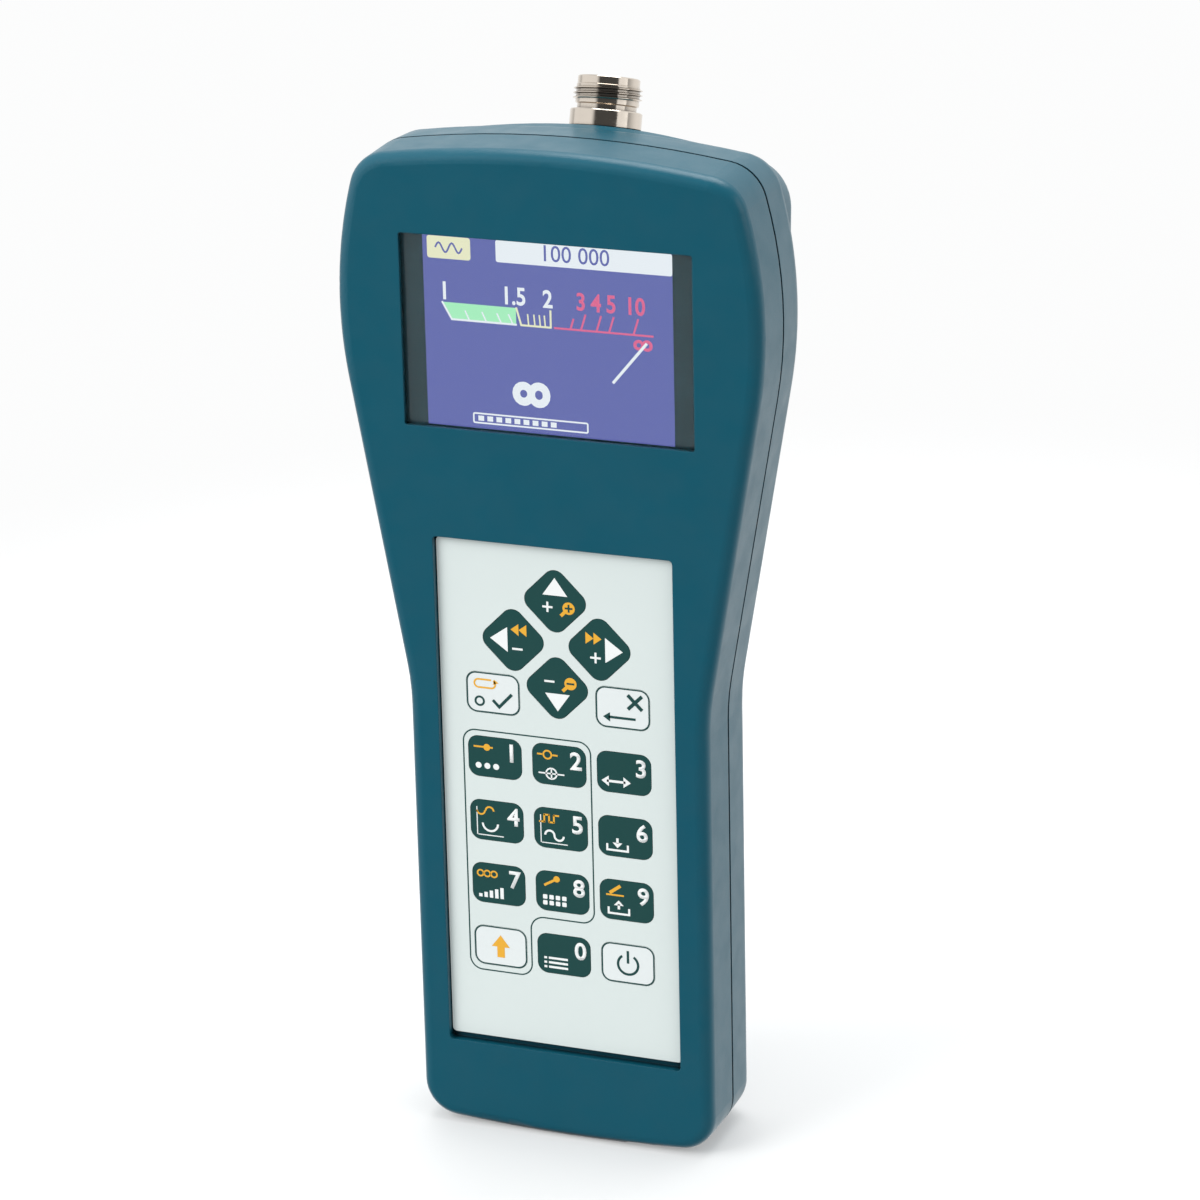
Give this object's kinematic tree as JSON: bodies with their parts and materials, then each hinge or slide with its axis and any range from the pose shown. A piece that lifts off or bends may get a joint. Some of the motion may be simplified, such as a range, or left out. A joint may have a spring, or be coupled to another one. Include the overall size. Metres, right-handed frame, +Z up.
{
  "type": "antenna analyzer",
  "caption": "Hand-held antenna analyzer: two-part case with a recessed colour display, membrane keypad, coaxial socket on the sloping top and a battery door behind.",
  "frame": {"origin": "middle of the flat on the foot, in the plane where the two case halves meet", "axes": "+X to the right seen from the front, +Y to the back, +Z up the standing case"},
  "size_m": [0.1024, 0.0508, 0.2501],
  "materials": {
    "case_teal": "fine matt moulded grain",
    "steel": "plain zinc plated",
    "brass": "plain turned",
    "clear": "clear polished",
    "screen": "lit colour display behind glass",
    "white_plastic": "plain",
    "foam": "closed foam",
    "overlay_pale": "fine satin film",
    "key_pale": "fine satin film, printed",
    "key_green": "fine satin film, printed",
    "board_green": "solder mask",
    "black_plastic": "plain moulded",
    "nickel": "bright nickel plate",
    "copper_lead": "tinned copper jacket",
    "cell_wrap": "plain wrap"
  },
  "bodies": {
    "case": {"front_shell": "case_teal", "rear_shell": "case_teal", "case_screws": "steel", "threaded_inserts": "brass", "board_screws": "steel", "display_window": "clear", "lcd_panel": "screen", "backlight": "white_plastic", "lcd_frame": "steel", "display_pad": "foam", "keypad_overlay": "overlay_pale", "keypad_spacer": "overlay_pale", "snap_domes": "steel", "keypad_board": "board_green", "main_board": "board_green", "board_link": "black_plastic", "shield_can": "steel", "buzzer": "black_plastic", "board_components": "black_plastic", "connector_body": "nickel", "connector_insulator": "white_plastic", "connector_contact": "brass", "connector_washer": "steel", "connector_nut": "nickel", "signal_jumper": "copper_lead", "usb_socket": "steel", "usb_tongue": "black_plastic", "battery_tray": "black_plastic", "battery_cell_1": "cell_wrap", "battery_cell_2": "cell_wrap", "battery_cell_3": "cell_wrap", "battery_cell_4": "cell_wrap", "battery_contacts": "brass"},
    "door": {"battery_door": "case_teal", "door_screws": "steel"},
    "key_0": {"key_0": "key_green"},
    "key_1": {"key_1": "key_green"},
    "key_2": {"key_2": "key_green"},
    "key_3": {"key_3": "key_green"},
    "key_4": {"key_4": "key_green"},
    "key_5": {"key_5": "key_green"},
    "key_6": {"key_6": "key_green"},
    "key_7": {"key_7": "key_green"},
    "key_8": {"key_8": "key_green"},
    "key_9": {"key_9": "key_green"},
    "key_up": {"key_up": "key_green"},
    "key_down": {"key_down": "key_green"},
    "key_left": {"key_left": "key_green"},
    "key_right": {"key_right": "key_green"},
    "key_ok": {"key_ok": "key_pale"},
    "key_cancel": {"key_cancel": "key_pale"},
    "key_function": {"key_function": "key_pale"},
    "key_power": {"key_power": "key_pale"}
  },
  "joints": [
    {"name": "door_lift", "type": "slide", "parent": "case", "child": "door", "axis": [0, 1, 0], "range_m": [0, 0.04]},
    {"name": "key_0_press", "type": "slide", "parent": "case", "child": "key_0", "axis": [0, 1, 0], "range_m": [0, 0.0004], "stiffness_N_per_m": 900, "springref_m": -0.0001},
    {"name": "key_1_press", "type": "slide", "parent": "case", "child": "key_1", "axis": [0, 1, 0], "range_m": [0, 0.0004], "stiffness_N_per_m": 900, "springref_m": -0.0001},
    {"name": "key_2_press", "type": "slide", "parent": "case", "child": "key_2", "axis": [0, 1, 0], "range_m": [0, 0.0004], "stiffness_N_per_m": 900, "springref_m": -0.0001},
    {"name": "key_3_press", "type": "slide", "parent": "case", "child": "key_3", "axis": [0, 1, 0], "range_m": [0, 0.0004], "stiffness_N_per_m": 900, "springref_m": -0.0001},
    {"name": "key_4_press", "type": "slide", "parent": "case", "child": "key_4", "axis": [0, 1, 0], "range_m": [0, 0.0004], "stiffness_N_per_m": 900, "springref_m": -0.0001},
    {"name": "key_5_press", "type": "slide", "parent": "case", "child": "key_5", "axis": [0, 1, 0], "range_m": [0, 0.0004], "stiffness_N_per_m": 900, "springref_m": -0.0001},
    {"name": "key_6_press", "type": "slide", "parent": "case", "child": "key_6", "axis": [0, 1, 0], "range_m": [0, 0.0004], "stiffness_N_per_m": 900, "springref_m": -0.0001},
    {"name": "key_7_press", "type": "slide", "parent": "case", "child": "key_7", "axis": [0, 1, 0], "range_m": [0, 0.0004], "stiffness_N_per_m": 900, "springref_m": -0.0001},
    {"name": "key_8_press", "type": "slide", "parent": "case", "child": "key_8", "axis": [0, 1, 0], "range_m": [0, 0.0004], "stiffness_N_per_m": 900, "springref_m": -0.0001},
    {"name": "key_9_press", "type": "slide", "parent": "case", "child": "key_9", "axis": [0, 1, 0], "range_m": [0, 0.0004], "stiffness_N_per_m": 900, "springref_m": -0.0001},
    {"name": "key_up_press", "type": "slide", "parent": "case", "child": "key_up", "axis": [0, 1, 0], "range_m": [0, 0.0004], "stiffness_N_per_m": 900, "springref_m": -0.0001},
    {"name": "key_down_press", "type": "slide", "parent": "case", "child": "key_down", "axis": [0, 1, 0], "range_m": [0, 0.0004], "stiffness_N_per_m": 900, "springref_m": -0.0001},
    {"name": "key_left_press", "type": "slide", "parent": "case", "child": "key_left", "axis": [0, 1, 0], "range_m": [0, 0.0004], "stiffness_N_per_m": 900, "springref_m": -0.0001},
    {"name": "key_right_press", "type": "slide", "parent": "case", "child": "key_right", "axis": [0, 1, 0], "range_m": [0, 0.0004], "stiffness_N_per_m": 900, "springref_m": -0.0001},
    {"name": "key_ok_press", "type": "slide", "parent": "case", "child": "key_ok", "axis": [0, 1, 0], "range_m": [0, 0.0004], "stiffness_N_per_m": 900, "springref_m": -0.0001},
    {"name": "key_cancel_press", "type": "slide", "parent": "case", "child": "key_cancel", "axis": [0, 1, 0], "range_m": [0, 0.0004], "stiffness_N_per_m": 900, "springref_m": -0.0001},
    {"name": "key_function_press", "type": "slide", "parent": "case", "child": "key_function", "axis": [0, 1, 0], "range_m": [0, 0.0004], "stiffness_N_per_m": 900, "springref_m": -0.0001},
    {"name": "key_power_press", "type": "slide", "parent": "case", "child": "key_power", "axis": [0, 1, 0], "range_m": [0, 0.0004], "stiffness_N_per_m": 900, "springref_m": -0.0001}
  ]
}
